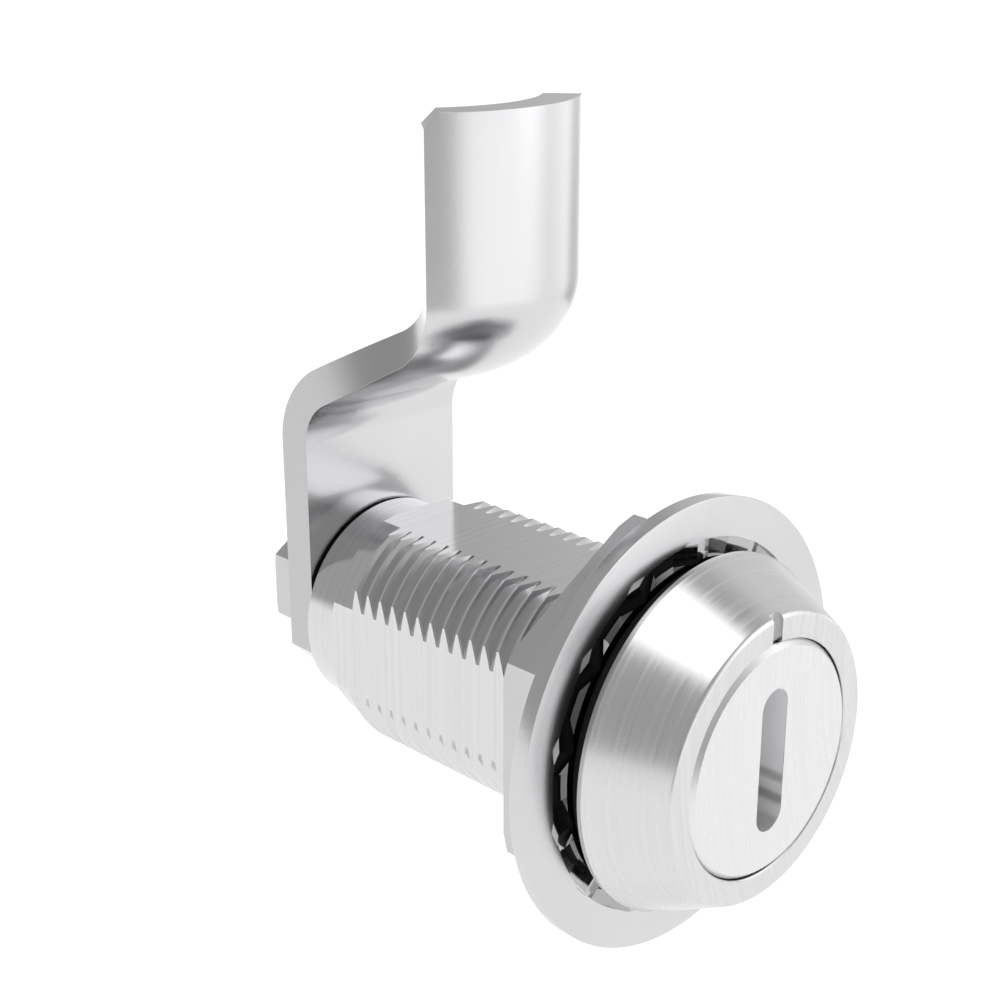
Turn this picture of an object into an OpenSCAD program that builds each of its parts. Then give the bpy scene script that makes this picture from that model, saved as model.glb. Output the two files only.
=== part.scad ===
// Compression latch with a round head, a threaded body and a cranked pawl.
// Origin: on the latch axis, at the seat face of the head.
// Front (key side) is towards -Y, the pawl stands up along +Z.
// Drawn closed: the pawl is up and pulled in as far as it goes.

/* [Head] */
// outer diameter of the head at its seat
head_diameter = 28.4; // [27.5:0.1:32]
// diameter of the flat front face
face_diameter = 22.7; // [21.5:0.1:24]
// height of the head in front of the seat
head_height = 6.2; // [5.8:0.1:8]
// straight rim of the head next to the seat
rim_height = 0.4; // [0.3:0.1:1]
// radius of the rounded edge round the front face
face_edge = 0.5; // [0.2:0.1:0.8]
// diameter of the recess that takes the drive plug
recess_diameter = 18.7; // [17.5:0.1:19.5]
// depth of that recess
recess_depth = 2.6; // [2.2:0.1:3]
// width of the position mark cut in the face ring
mark_width = 1.1; // [0.8:0.1:1.6]
// depth of the position mark
mark_depth = 0.5; // [0.3:0.1:0.8]
// outer diameter of the flat seal under the head
seal_diameter = 26.6; // [26:0.1:26.8]
// inner diameter of that seal
seal_bore = 22.5; // [22.4:0.1:23]
// depth of its groove in the seat
seal_depth = 0.4; // [0.3:0.1:0.6]
// part of the seal that stands out of its groove
seal_proud = 1.4; // [0.8:0.1:1.5]

/* [Body] */
// outer diameter of the thread
thread_diameter = 22; // [21.6:0.1:22.4]
// pitch of the thread
thread_pitch = 1.5; // [1.5:0.25:2]
// depth of the thread
thread_depth = 0.82; // [0.7:0.02:0.92]
// distance across the flats of the body
body_flats = 18.9; // [18.6:0.1:19.4]
// overall length of the body behind the seat
body_length = 35.9; // [35.4:0.1:40]
// length of the smooth nose at the rear end
nose_length = 3.3; // [3:0.1:4]
// diameter of the smooth nose
nose_diameter = 18.6; // [18.4:0.1:19]
// length of the plain relief between thread and nose
relief_length = 1.6; // [1:0.1:2]
// length of the cone between relief and nose
nose_cone = 0.7; // [0.5:0.1:1]
// bore of the body
bore_diameter = 15; // [14.6:0.1:15.2]
// bore of the lip at the rear end
lip_diameter = 12.76; // [12.7:0.02:13]
// thickness of the lip
lip_thickness = 2; // [1.6:0.1:2.4]
// pocket behind the lip
pocket_diameter = 15.8; // [15.6:0.1:16.4]
// depth of that pocket
pocket_depth = 2.5; // [2.3:0.1:3]

/* [Clamping] */
// room left between the seat and the toothed ring
panel_gap = 1.6; // [1:0.1:3]
// outer diameter of the toothed ring
ring_diameter = 36; // [35:0.5:42]
// thickness of the toothed ring
ring_thickness = 1.3; // [1.2:0.1:2]
// number of teeth
tooth_count = 14; // [10:1:16]
// circle on which the teeth end
tooth_circle = 29.8; // [29:0.1:31]
// width of one tooth at its foot
tooth_width = 3.4; // [2.6:0.1:3.8]
// height of the teeth above the ring
tooth_height = 0.3; // [0.2:0.05:0.5]
// circle on which the teeth start
tooth_start = 26.9; // [26.9:0.1:27.6]
// width across the flats of the mounting nut
nut_flats = 27; // [26:0.5:30]
// height of the mounting nut
nut_height = 5; // [4:0.5:7]

/* [Drive plug] */
// thickness of the front disc of the plug
plug_flange = 2.45; // [2.2:0.05:2.5]
// how far the plug face stands in front of the head face
plug_proud = 0.15; // [0.05:0.05:0.3]
// bevel round the plug face
plug_bevel = 0.4; // [0.2:0.1:0.6]
// width of the key slot
key_slot_width = 3; // [2.4:0.1:3.4]
// length of the key slot
key_slot_length = 11.6; // [9:0.1:12]
// depth of the key slot
key_slot_depth = 4.6; // [4.2:0.1:4.8]
// depth at which the shank of the plug ends
shank_end = 3; // [2.8:0.1:3.2]
// section of the seal ring on the plug
plug_seal_section = 1.5; // [1.3:0.1:1.6]
// diameter of the detent ball
ball_diameter = 1.9; // [1.6:0.1:2]
// outer diameter of the cam tube
cam_diameter = 10; // [9.8:0.1:10.2]
// length of the cam tube behind the shank
cam_length = 21; // [20:0.5:21]

/* [Sleeve and shaft] */
// axial travel of the pawl
pull_travel = 6; // [4:0.5:6]
// part of a turn that gives this travel
pull_turn = 90; // [80:5:90]
// depth of the cross pin when closed
pin_depth = 14; // [13:0.5:14]
// diameter of the cross pin
pin_diameter = 2.5; // [2:0.1:3]
// outer diameter of the neck of the sleeve
neck_diameter = 12.6; // [12.2:0.1:12.8]
// diameter of the front part of the shaft
shaft_front = 6; // [5.6:0.1:6.4]
// diameter of the rear part of the shaft
shaft_rear = 10; // [9.8:0.1:10.2]
// depth at which the shaft starts when closed
shaft_start = 8; // [7.6:0.1:9]
// square that carries the pawl
square_size = 8; // [7.5:0.1:8.4]
// section of the seal ring on the shaft
shaft_seal_section = 1.2; // [1:0.1:1.4]
// wire of the return spring
spring_wire = 0.6; // [0.5:0.05:0.7]

/* [Pawl] */
// width of the pawl
pawl_width = 16.8; // [15:0.2:20]
// thickness of the pawl
pawl_thickness = 3.1; // [2.5:0.1:3.5]
// height of the top of the pawl above the axis
pawl_reach = 44.8; // [42:0.2:55]
// how far the rounded tongue stands in front of the base
pawl_offset = 15.1; // [13:0.1:18]
// reach of the foot of the pawl below the axis
pawl_foot = 8.4; // [7.8:0.1:10]
// size of the corner cuts on the foot
foot_corner = 5.6; // [4:0.1:6]
// height at which the first bend starts
bend_start = 16.2; // [15.5:0.1:18]
// angle through which the pawl is cranked
bend_angle = 62; // [58:1:66]
// inner radius of the first bend
bend_inner = 4.5; // [3:0.1:5]
// outer radius of the second bend
bend_outer = 6.2; // [5:0.1:7]
// radius across the rounded tongue
tongue_radius = 13.46; // [12:0.1:16]
// size of the corner cut on the tongue
tongue_corner = 1.1; // [0.8:0.1:2]

/* [Pawl fixing] */
// diameter of the bolt
bolt_diameter = 6; // [5:0.5:6]
// width across the flats of the bolt head
bolt_flats = 10; // [9:0.5:11]
// height of the bolt head
bolt_head = 4; // [3.5:0.1:5]
// length of the bolt under its head
bolt_length = 12; // [10:1:14]
// outer diameter of the plain washer
washer_diameter = 12; // [11:0.5:13]
// thickness of the plain washer
washer_thickness = 1.6; // [1:0.1:2]
// thickness of the toothed lock washer
lock_thickness = 0.8; // [0.6:0.1:1]

/* [Hidden] */
$fn = 64;
running_gap = 0.08;
body_gap = 0.3;
loose_gap = 0.05;
wall_overlap = 1;
steel = [0.78, 0.78, 0.8];
polished = [0.86, 0.86, 0.88];
black = [0.1, 0.1, 0.11];

// Head and body
head_r = head_diameter / 2;
face_r = face_diameter / 2;
cone_angle = atan2(head_r - face_r, head_height - rim_height);
edge_setback = face_edge / tan((90 + cone_angle) / 2);
recess_r = recess_diameter / 2;
recess_floor = recess_depth - head_height;
bore_r = bore_diameter / 2;
lip_r = lip_diameter / 2;
lip_rear = body_length - pocket_depth;
lip_front = lip_rear - lip_thickness;
crest_r = thread_diameter / 2;
root_r = crest_r - thread_depth;
nose_start = body_length - nose_length;
relief_start = nose_start - nose_cone - relief_length;
crest_width = thread_pitch / 8;
flank_width = thread_depth * tan(30);
root_width = thread_pitch - crest_width - 2 * flank_width;
thread_runout = 0.26;
thread_turns = floor((relief_start - thread_runout) / thread_pitch);
thread_start = relief_start - thread_runout - thread_turns * thread_pitch;
seal_r = seal_diameter / 2;

// Clamping ring and nut
ring_front = panel_gap;
ring_rear = ring_front + ring_thickness;
nut_rear = ring_rear + nut_height;
key_flats = body_flats + 2 * loose_gap;
nut_corner = nut_flats / 2 / cos(30);

// Drive plug
plug_r = recess_r - running_gap;
plug_face = -head_height - plug_proud;
flange_rear = plug_face + plug_flange;
shank_r = bore_r - running_gap;
slot_floor = plug_face + key_slot_depth;
plug_seal_at = 0.1;
plug_groove = plug_seal_section + 0.2;
ball_at = 1.9;
ball_r = ball_diameter / 2;
ball_reach = shank_r - ball_r;
detent_hole = ball_r + 0.1;
detent_floor = 3.4;
cam_r = cam_diameter / 2;
cam_bore = shaft_front / 2 + running_gap;
cam_bottom = shank_end + 0.6;
cam_end = shank_end + cam_length;
pin_r = pin_diameter / 2;
cam_slot_r = pin_r + body_gap;
cam_steps = 12;

// Sleeve
sleeve_front = shank_end + body_gap;
sleeve_rear = lip_front - body_gap;
sleeve_bore = max(cam_r, shaft_rear / 2) + running_gap;
neck_r = neck_diameter / 2;
neck_end = body_length - 0.4;
clip_thickness = 0.7;
clip_groove = neck_r - 0.45;
thrust_front = lip_rear + body_gap;
thrust_thickness = 0.6;
clip_front = thrust_front + thrust_thickness;

// Shaft
pawl_front = body_length + body_gap;
pawl_rear = pawl_front + pawl_thickness;
shaft_step = cam_end + 0.9;
shaft_front_r = shaft_front / 2;
shaft_rear_r = shaft_rear / 2;
bolt_r = bolt_diameter / 2;
washer_rear = pawl_rear + washer_thickness;
bolt_seat = washer_rear + lock_thickness;
bolt_tip = bolt_seat - bolt_length;
bolt_hole_end = bolt_tip - 0.8;
shaft_seal_at = cam_end + 3.4;
seat_thickness = 0.8;
spring_front = cam_bottom + seat_thickness;

// Pawl
half_width = pawl_width / 2;
tongue_angle = asin(half_width / tongue_radius);
tongue_sag = tongue_radius * (1 - cos(tongue_angle));
tongue_edge = pawl_front - pawl_offset;
bend_cos = cos(bend_angle);
bend_sin = sin(bend_angle);
slant_from = [pawl_front - bend_inner * (1 - bend_cos), bend_start + bend_inner * bend_sin];
slant_run = slant_from[0] - tongue_edge - bend_outer * (1 - bend_cos);
slant_length = slant_run / bend_sin;
slant_to = slant_from + slant_length * [-bend_sin, bend_cos];
tongue_start = slant_to[1] + bend_outer * bend_sin;
bend_steps = 8;
slant_steps = 10;
across_steps = 18;

// Turned shape from points of [radius, depth behind the seat]
module turned(points) {
    rotate([90, 0, 0])
        rotate_extrude()
            polygon([for (p = points) [p[0], -p[1]]]);
}

// Flat outline seen from the front, between two depths
module plate(front, rear) {
    translate([0, rear, 0])
        rotate([90, 0, 0])
            linear_extrude(height = rear - front)
                children();
}

// Round bar along the axis between two depths
module bar(radius, front, rear) {
    translate([0, rear, 0])
        rotate([90, 0, 0])
            cylinder(r = radius, h = rear - front);
}

// Square with the given width, used for all four flats at once
module flats_outline(across) {
    square([across, across], center = true);
}

// Hexagon with its corners up and down
module hex_outline(across) {
    rotate(90)
        circle(r = across / 2 / cos(30), $fn = 6);
}

// Ring of round section about the axis
module round_ring(middle, section, depth) {
    translate([0, depth, 0])
        rotate([90, 0, 0])
            rotate_extrude()
                translate([middle, 0])
                    circle(d = section, $fn = 20);
}

// Outer shape of the head, with its rounded front edge
module head_shape() {
    run = face_r - edge_setback;
    turned([
        [0, -head_height],
        [run, -head_height],
        [face_r + edge_setback * sin(cone_angle), edge_setback * cos(cone_angle) - head_height],
        [head_r, -rim_height],
        [head_r, -0.05],
        [head_r - 0.05, 0],
        [0, 0]
    ]);
    translate([0, face_edge - head_height, 0])
        rotate([90, 0, 0])
            rotate_extrude()
                translate([run, 0])
                    circle(r = face_edge, $fn = 24);
}

// One turn of the thread profile, from root to root
function thread_turn(start) = [
    [root_r, start],
    [root_r, start + root_width / 2],
    [crest_r, start + root_width / 2 + flank_width],
    [crest_r, start + root_width / 2 + flank_width + crest_width],
    [root_r, start + root_width / 2 + 2 * flank_width + crest_width]
];

// Threaded part of the body before the flats are cut
module thread_shape() {
    turned(concat(
        [[0, -wall_overlap], [root_r, -wall_overlap]],
        [for (i = [0 : thread_turns - 1]) each thread_turn(thread_start + i * thread_pitch)],
        [
            [root_r, relief_start + relief_length],
            [nose_diameter / 2, nose_start],
            [nose_diameter / 2, body_length - 0.3],
            [nose_diameter / 2 - 0.3, body_length],
            [0, body_length]
        ]
    ), $fn = 72);
}

module housing() {
    color(steel)
        difference() {
            union() {
                head_shape();
                intersection() {
                    thread_shape($fn = 72);
                    plate(-wall_overlap, body_length)
                        flats_outline(body_flats);
                }
            }
            bar(recess_r, -head_height - wall_overlap, recess_floor);
            turned([
                [0, -head_height - 0.01],
                [recess_r + 0.08, -head_height - 0.01],
                [recess_r, -head_height + 0.07],
                [0, -head_height + 0.07]
            ]);
            bar(bore_r, recess_floor - wall_overlap, lip_front);
            bar(lip_r, lip_front - wall_overlap, body_length);
            bar(pocket_diameter / 2, lip_rear, body_length + wall_overlap);
            // groove of the seal under the head
            turned([
                [seal_bore / 2, -seal_depth],
                [seal_r, -seal_depth],
                [seal_r, wall_overlap],
                [seal_bore / 2, wall_overlap]
            ]);
            // position mark at the top of the face ring
            translate([-mark_width / 2, -head_height - wall_overlap, recess_r - wall_overlap])
                cube([mark_width, wall_overlap + mark_depth, head_r]);
            // shallow seats for the detent ball, a quarter turn apart
            for (a = [0, 90, 180])
                rotate([0, a, 0])
                    translate([0, ball_at, 0])
                        cylinder(r = ball_r, h = bore_r + 0.25);
        }
}

module head_seal() {
    color(black)
        turned([
            [seal_bore / 2, -seal_depth],
            [seal_r, -seal_depth],
            [seal_r, seal_proud - 0.1],
            [seal_r - 0.1, seal_proud],
            [seal_bore / 2 + 0.1, seal_proud],
            [seal_bore / 2, seal_proud - 0.1]
        ]);
}

// Raised teeth with two sloping sides each, between the tooth circles
module teeth() {
    half = tooth_width / 2;
    foot = ring_thickness / 2;
    intersection() {
        plate(ring_front - wall_overlap, ring_rear - foot / 2)
            difference() {
                circle(d = tooth_circle);
                circle(d = tooth_start);
            }
        for (i = [0 : tooth_count - 1])
            rotate([0, i * 360 / tooth_count, 0])
                translate([0, ring_front, 0])
                    linear_extrude(height = tooth_circle / 2)
                        polygon([
                            [-half, 0],
                            [0, -tooth_height],
                            [half, 0],
                            [half, foot],
                            [-half, foot]
                        ]);
    }
}

module toothed_ring() {
    color(steel) {
        difference() {
            turned([
                [0, ring_front],
                [ring_diameter / 2 - 0.08, ring_front],
                [ring_diameter / 2, ring_front + 0.08],
                [ring_diameter / 2, ring_rear - 0.08],
                [ring_diameter / 2 - 0.08, ring_rear],
                [0, ring_rear]
            ], $fn = 96);
            plate(ring_front - wall_overlap, ring_rear + wall_overlap)
                intersection() {
                    circle(r = crest_r + loose_gap);
                    flats_outline(key_flats);
                }
        }
        teeth();
    }
}

module mounting_nut() {
    bevel = 0.4;
    color(steel)
        difference() {
            intersection() {
                plate(ring_rear, nut_rear)
                    hex_outline(nut_flats);
                turned([
                    [0, ring_rear],
                    [nut_corner - bevel / tan(30), ring_rear],
                    [nut_corner, ring_rear + bevel],
                    [nut_corner, nut_rear - bevel],
                    [nut_corner - bevel / tan(30), nut_rear],
                    [0, nut_rear]
                ]);
            }
            bar(crest_r + loose_gap, ring_rear - wall_overlap, nut_rear + wall_overlap);
            turned([
                [crest_r, nut_rear - 0.4],
                [crest_r + 0.5, nut_rear + 0.1],
                [0, nut_rear + 0.1],
                [0, nut_rear - 0.4]
            ]);
        }
}

// Cut along the screw path of the cross pin through both walls of the cam tube
module cam_slot() {
    for (i = [0 : cam_steps])
        translate([0, pin_depth + pull_travel * i / cam_steps, 0])
            rotate([0, pull_turn * i / cam_steps, 0])
                rotate([0, 90, 0])
                    cylinder(r = cam_slot_r, h = 2 * cam_r + wall_overlap, center = true, $fn = 24);
}

module drive_plug() {
    color(polished)
        difference() {
            turned([
                [0, plug_face],
                [plug_r - plug_bevel, plug_face],
                [plug_r, plug_face + plug_bevel],
                [plug_r, flange_rear],
                [shank_r, flange_rear],
                [shank_r, plug_seal_at - plug_groove / 2],
                [shank_r - plug_seal_section, plug_seal_at - plug_groove / 2],
                [shank_r - plug_seal_section, plug_seal_at + plug_groove / 2],
                [shank_r, plug_seal_at + plug_groove / 2],
                [shank_r, shank_end],
                [cam_r, shank_end],
                [cam_r, cam_end],
                [cam_bore, cam_end],
                [cam_bore, cam_bottom],
                [0, cam_bottom]
            ]);
            plate(plug_face - wall_overlap, slot_floor)
                union() {
                    square([key_slot_width, key_slot_length - key_slot_width], center = true);
                    for (side = [-1, 1])
                        translate([0, side * (key_slot_length - key_slot_width) / 2])
                            circle(d = key_slot_width, $fn = 32);
                }
            // blind hole of the detent
            translate([0, ball_at, detent_floor])
                cylinder(r = detent_hole, h = bore_r, $fn = 24);
            cam_slot();
        }
}

module plug_seal() {
    color(black)
        round_ring(shank_r - plug_seal_section / 2, plug_seal_section - 0.02, plug_seal_at);
}

module detent_ball() {
    color(polished)
        translate([0, ball_at, ball_reach])
            sphere(r = ball_r, $fn = 24);
}

module detent_spring() {
    turns = 4;
    wire = 0.3;
    room = ball_reach - ball_r - detent_floor;
    color(steel)
        for (i = [0 : turns - 1])
            translate([0, ball_at, detent_floor + wire / 2 + 0.02 + i * (room - wire - 0.04) / (turns - 1)])
                rotate_extrude($fn = 24)
                    translate([detent_hole - 0.1 - wire / 2, 0])
                        circle(d = wire, $fn = 12);
}

// Straight slots of the sleeve that keep the pin in line
module sleeve_slot() {
    from = pin_depth;
    to = pin_depth + pull_travel;
    for (y = [from, to])
        translate([0, y, 0])
            rotate([0, 90, 0])
                cylinder(r = cam_slot_r, h = bore_diameter + wall_overlap, center = true, $fn = 24);
    translate([-bore_r - wall_overlap, from, -cam_slot_r])
        cube([bore_diameter + 2 * wall_overlap, to - from, 2 * cam_slot_r]);
}

module guide_sleeve() {
    color(steel)
        difference() {
            turned([
                [sleeve_bore, sleeve_front],
                [shank_r - 0.3, sleeve_front],
                [shank_r, sleeve_front + 0.3],
                [shank_r, sleeve_rear],
                [neck_r, sleeve_rear],
                [neck_r, clip_front],
                [clip_groove, clip_front],
                [clip_groove, clip_front + clip_thickness],
                [neck_r, clip_front + clip_thickness],
                [neck_r, neck_end - 0.2],
                [neck_r - 0.2, neck_end],
                [sleeve_bore, neck_end]
            ]);
            sleeve_slot();
        }
}

module thrust_washer() {
    color(black)
        turned([
            [neck_r + loose_gap, thrust_front],
            [pocket_diameter / 2 - body_gap, thrust_front],
            [pocket_diameter / 2 - body_gap, clip_front],
            [neck_r + loose_gap, clip_front]
        ]);
}

module retaining_ring() {
    color(steel)
        plate(clip_front, clip_front + clip_thickness)
            difference() {
                translate([0, 0.25])
                    circle(r = neck_r + 0.9);
                circle(r = clip_groove + loose_gap);
                rotate(180)
                    polygon([[0, 0], [-neck_r * 0.6, 2 * neck_r], [neck_r * 0.6, 2 * neck_r]]);
            }
}

module spring_seat() {
    color(steel)
        turned([
            [0, cam_bottom],
            [cam_bore - loose_gap, cam_bottom],
            [cam_bore - loose_gap, cam_bottom + seat_thickness],
            [1.2, cam_bottom + seat_thickness],
            [1, cam_bottom + seat_thickness + 0.8],
            [0, cam_bottom + seat_thickness + 0.8]
        ], $fn = 32);
}

module return_spring() {
    turns = 4;
    from = spring_front + spring_wire / 2 + 0.02;
    step = (shaft_start - spring_front - spring_wire - 0.04) / (turns - 1);
    color(steel)
        for (i = [0 : turns - 1])
            translate([0, from + i * step, 0])
                rotate([90, 0, 0])
                    rotate_extrude($fn = 32)
                        translate([cam_bore - 0.2 - spring_wire / 2, 0])
                            circle(d = spring_wire, $fn = 12);
}

module shaft() {
    groove = shaft_seal_section + 0.2;
    seal_floor = shaft_rear_r - shaft_seal_section;
    color(steel)
        difference() {
            turned([
                [0, shaft_start],
                [shaft_front_r - 0.3, shaft_start],
                [shaft_front_r, shaft_start + 0.3],
                [shaft_front_r, shaft_step],
                [shaft_rear_r - 0.3, shaft_step],
                [shaft_rear_r, shaft_step + 0.3],
                [shaft_rear_r, shaft_seal_at - groove / 2],
                [seal_floor, shaft_seal_at - groove / 2],
                [seal_floor, shaft_seal_at + groove / 2],
                [shaft_rear_r, shaft_seal_at + groove / 2],
                [shaft_rear_r, pawl_rear - 0.1],
                [0, pawl_rear - 0.1]
            ]);
            // square seat of the pawl
            plate(pawl_front, pawl_rear + wall_overlap)
                difference() {
                    circle(r = shaft_rear_r + wall_overlap);
                    flats_outline(square_size);
                }
            bar(bolt_r + loose_gap, bolt_hole_end, pawl_rear + wall_overlap);
            translate([0, pin_depth, 0])
                rotate([0, 90, 0])
                    cylinder(r = pin_r + 0.02, h = shaft_front + wall_overlap, center = true, $fn = 32);
        }
}

module cross_pin() {
    reach = shank_r - 0.3;
    color(polished)
        translate([0, pin_depth, 0])
            rotate([0, 90, 0])
                rotate_extrude($fn = 32)
                    polygon([
                        [0, -reach],
                        [pin_r - 0.3, -reach],
                        [pin_r, 0.3 - reach],
                        [pin_r, reach - 0.3],
                        [pin_r - 0.3, reach],
                        [0, reach]
                    ]);
}

module shaft_seal() {
    color(black)
        round_ring(shaft_rear_r - shaft_seal_section / 2 + 0.04, shaft_seal_section - 0.02, shaft_seal_at);
}

// Edge of the front side of the pawl as [depth, height, tilt of the surface]
pawl_path = concat(
    [for (i = [0 : bend_steps])
        let (a = bend_angle * i / bend_steps)
        [pawl_front - bend_inner * (1 - cos(a)), bend_start + bend_inner * sin(a), a]],
    [for (i = [1 : slant_steps - 1])
        let (p = slant_from + (slant_to - slant_from) * i / slant_steps)
        [p[0], p[1], bend_angle]],
    [for (i = [0 : bend_steps])
        let (a = bend_angle * (1 - i / bend_steps))
        [tongue_edge + bend_outer * (1 - cos(a)), tongue_start - bend_outer * sin(a), a]]
);
path_count = len(pawl_path);
path_run = [for (i = [0 : path_count - 1]) pawl_path[i][1] - bend_start];
path_end = tongue_start - bend_start;

// The section grows smoothly from flat to fully rounded
function ease(t) = t * t * (3 - 2 * t);
function section_sag(i) = tongue_sag * ease(min(1, path_run[i] / path_end));
function section_radius(s) = (half_width * half_width + s * s) / (2 * s);

// Place across and height over the chord of one point of a section, from -1 to 1 across
function arc_point(s, place, inward) =
    s < 0.01
        ? [half_width * place, -inward]
        : let (r = section_radius(s), a = asin(half_width / r) * place)
          [(r - inward) * sin(a), (r - inward) * cos(a) - (r - s)];

function section_point(i, place, inward) =
    let (p = arc_point(section_sag(i), place, inward), tilt = pawl_path[i][2])
    [p[0], pawl_path[i][0] - p[1] * cos(tilt), pawl_path[i][1] - p[1] * sin(tilt)];

function section_loop(i) = concat(
    [for (k = [0 : across_steps]) section_point(i, 2 * k / across_steps - 1, 0)],
    [for (k = [0 : across_steps]) section_point(i, 1 - 2 * k / across_steps, pawl_thickness)]
);

module pawl_crank() {
    loop = 2 * (across_steps + 1);
    points = [for (i = [0 : path_count - 1]) each section_loop(i)];
    sides = [
        for (i = [0 : path_count - 2])
            for (k = [0 : loop - 1])
                let (
                    a = i * loop + k,
                    b = i * loop + (k + 1) % loop
                )
                each [[a, a + loop, b], [b, a + loop, b + loop]]
    ];
    lower = [for (k = [0 : across_steps - 1]) each [
        [k, k + 1, loop - 1 - k],
        [k + 1, loop - 2 - k, loop - 1 - k]
    ]];
    base = (path_count - 1) * loop;
    upper = [for (f = lower) [base + f[0], base + f[2], base + f[1]]];
    polyhedron(points = points, faces = concat(sides, lower, upper));
}

module tongue() {
    outline = section_loop(path_count - 1);
    translate([0, 0, tongue_start])
        linear_extrude(height = pawl_reach - tongue_start)
            polygon([for (p = outline) [p[0], p[1]]]);
}

module pawl() {
    color(steel)
        difference() {
            union() {
                plate(pawl_front, pawl_rear)
                    polygon([
                        [-half_width, bend_start],
                        [-half_width, foot_corner - pawl_foot],
                        [foot_corner - half_width, -pawl_foot],
                        [half_width - foot_corner, -pawl_foot],
                        [half_width, foot_corner - pawl_foot],
                        [half_width, bend_start]
                    ]);
                pawl_crank();
                tongue();
            }
            // square hole for the shaft
            plate(pawl_front - wall_overlap, pawl_rear + wall_overlap)
                intersection() {
                    circle(r = shaft_rear_r + loose_gap);
                    flats_outline(square_size + 2 * loose_gap);
                }
            // corner cut at the top of the tongue
            translate([-half_width, tongue_edge, pawl_reach])
                rotate([0, 0, -tongue_angle])
                    rotate([0, 45, 0])
                        cube([tongue_corner * sqrt(2), 4 * pawl_thickness, tongue_corner * sqrt(2)], center = true);
        }
}

module plain_washer() {
    color(steel)
        difference() {
            bar(washer_diameter / 2, pawl_rear, washer_rear);
            bar(bolt_r + 0.2, pawl_rear - wall_overlap, washer_rear + wall_overlap);
        }
}

module lock_washer() {
    teeth = 8;
    rim = bolt_flats / 2 + 0.5;
    notch = rim - bolt_r - 0.2;
    color(steel)
        plate(washer_rear, bolt_seat)
            difference() {
                circle(r = rim);
                circle(r = bolt_r + 0.2);
                for (i = [0 : teeth - 1])
                    rotate((i + 0.5) * 360 / teeth)
                        translate([rim, 0])
                            square([notch, notch * 0.6], center = true);
            }
}

module pawl_bolt() {
    head_end = bolt_seat + bolt_head;
    corner = bolt_flats / 2 / cos(30);
    bevel = bolt_head / 10;
    tip_bevel = bolt_diameter / 10;
    color(polished) {
        intersection() {
            plate(bolt_seat, head_end)
                hex_outline(bolt_flats);
            turned([
                [0, bolt_seat],
                [corner, bolt_seat],
                [corner, head_end - bevel],
                [corner - bevel / tan(30), head_end],
                [0, head_end]
            ]);
        }
        turned([
            [0, bolt_tip],
            [bolt_r - tip_bevel, bolt_tip],
            [bolt_r, bolt_tip + tip_bevel],
            [bolt_r, bolt_seat + bolt_head / 2],
            [0, bolt_seat + bolt_head / 2]
        ]);
    }
}

housing();
head_seal();
toothed_ring();
mounting_nut();
drive_plug();
plug_seal();
detent_ball();
detent_spring();
guide_sleeve();
thrust_washer();
retaining_ring();
spring_seat();
return_spring();
shaft();
cross_pin();
shaft_seal();
pawl();
plain_washer();
lock_washer();
pawl_bolt();
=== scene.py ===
import math

import bmesh
import bpy
from mathutils import Matrix, Vector


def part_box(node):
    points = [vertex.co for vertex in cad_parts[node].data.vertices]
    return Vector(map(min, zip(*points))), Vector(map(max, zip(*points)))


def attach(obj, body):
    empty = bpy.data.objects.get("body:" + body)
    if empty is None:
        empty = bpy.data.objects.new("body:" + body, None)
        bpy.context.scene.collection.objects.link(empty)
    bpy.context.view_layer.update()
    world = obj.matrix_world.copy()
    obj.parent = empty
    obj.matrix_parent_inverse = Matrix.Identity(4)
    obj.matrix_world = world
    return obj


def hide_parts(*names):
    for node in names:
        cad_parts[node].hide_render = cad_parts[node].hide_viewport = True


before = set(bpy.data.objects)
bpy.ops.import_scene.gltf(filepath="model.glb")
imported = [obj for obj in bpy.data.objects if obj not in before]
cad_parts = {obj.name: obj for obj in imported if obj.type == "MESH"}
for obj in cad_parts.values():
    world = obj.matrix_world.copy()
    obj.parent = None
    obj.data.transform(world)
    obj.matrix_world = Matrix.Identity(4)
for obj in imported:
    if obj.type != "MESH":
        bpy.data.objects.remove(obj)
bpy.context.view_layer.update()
mm = 0.001


# shared node helpers

def addNode(tree, kind, **values):
    node = tree.nodes.new(kind)
    for name, value in values.items():
        setattr(node, name, value)
    return node


def connect(tree, source, target):
    tree.links.new(source, target)


# a number goes into the socket itself, anything else is linked to it
def fillInput(tree, socket, value):
    if isinstance(value, (int, float)):
        socket.default_value = value
    else:
        connect(tree, value, socket)


def mathNode(tree, operation, *values, clamp=False):
    node = addNode(tree, "ShaderNodeMath", operation=operation, use_clamp=clamp)
    for place, value in enumerate(values):
        fillInput(tree, node.inputs[place], value)
    return node.outputs[0]


def plus(tree, *values):
    total = values[0]
    for value in values[1:]:
        total = mathNode(tree, "ADD", total, value)
    return total


def minus(tree, first, second):
    return mathNode(tree, "SUBTRACT", first, second)


def times(tree, first, second):
    return mathNode(tree, "MULTIPLY", first, second)


def isBelow(tree, value, limit):
    return mathNode(tree, "LESS_THAN", value, limit)


def isAbove(tree, value, limit):
    return mathNode(tree, "GREATER_THAN", value, limit)


# a small least keeps the distance above zero
def distance(tree, first, second, least=0.0):
    squares = plus(tree, times(tree, first, first), times(tree, second, second), least)
    return mathNode(tree, "SQRT", squares)


def splitAxes(tree, vector):
    node = addNode(tree, "ShaderNodeSeparateXYZ")
    connect(tree, vector, node.inputs[0])
    return node.outputs


def joinAxes(tree, x, y, z):
    node = addNode(tree, "ShaderNodeCombineXYZ")
    for socket, value in zip(node.inputs, (x, y, z)):
        fillInput(tree, socket, value)
    return node.outputs[0]


def surfacePlace(tree, output):
    return addNode(tree, "ShaderNodeTexCoord").outputs[output]


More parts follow.
